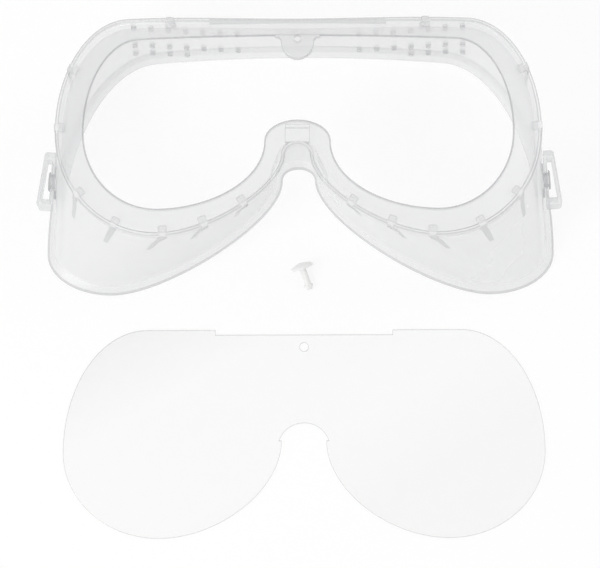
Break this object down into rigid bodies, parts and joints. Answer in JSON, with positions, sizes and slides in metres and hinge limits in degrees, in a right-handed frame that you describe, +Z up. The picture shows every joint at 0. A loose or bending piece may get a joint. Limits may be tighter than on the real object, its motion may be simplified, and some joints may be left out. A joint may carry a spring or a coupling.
{
  "type": "protective goggles",
  "caption": "Clear ventilated cover goggles taken apart: moulded frame with two swivelling strap clips, flat lens and push-in lens pin.",
  "frame": {"origin": "on the table, under the middle of the laid-out pieces", "axes": "+Z up, out of the front of the frame, which lies face side down; +Y towards the brow of the frame; +X to the right as seen from in front of the frame"},
  "size_m": [0.1802, 0.1728, 0.053],
  "materials": {
    "clear_pvc": "clear soft moulded vinyl, glossy with a slight haze",
    "clear_lens": "clear flat polycarbonate sheet, polished both sides",
    "pin_nylon": "milky white nylon, satin",
    "clip_plastic": "hard clear plastic, glossy"
  },
  "bodies": {
    "frame": {"goggle_frame": "clear_pvc"},
    "lens": {"lens": "clear_lens"},
    "pin": {"lens_pin": "pin_nylon"},
    "clip_left": {"strap_clip_left": "clip_plastic"},
    "clip_right": {"strap_clip_right": "clip_plastic"}
  },
  "joints": [
    {"name": "lens_lift", "type": "slide", "parent": "frame", "child": "lens", "axis": [0, 0, 1], "range_m": [0, 0.1]},
    {"name": "pin_lift", "type": "slide", "parent": "frame", "child": "pin", "axis": [0, 0, 1], "range_m": [0, 0.1]},
    {"name": "clip_right_swivel", "type": "hinge", "parent": "frame", "child": "clip_right", "pos_m": [0.08344, 0.03475, 0.019], "axis": [0.9974, 0.0711, -0.0117], "range_deg": [-20, 20]},
    {"name": "clip_left_swivel", "type": "hinge", "parent": "frame", "child": "clip_left", "pos_m": [-0.08344, 0.03475, 0.019], "axis": [-0.9974, 0.0711, -0.0117], "range_deg": [-20, 20]}
  ]
}
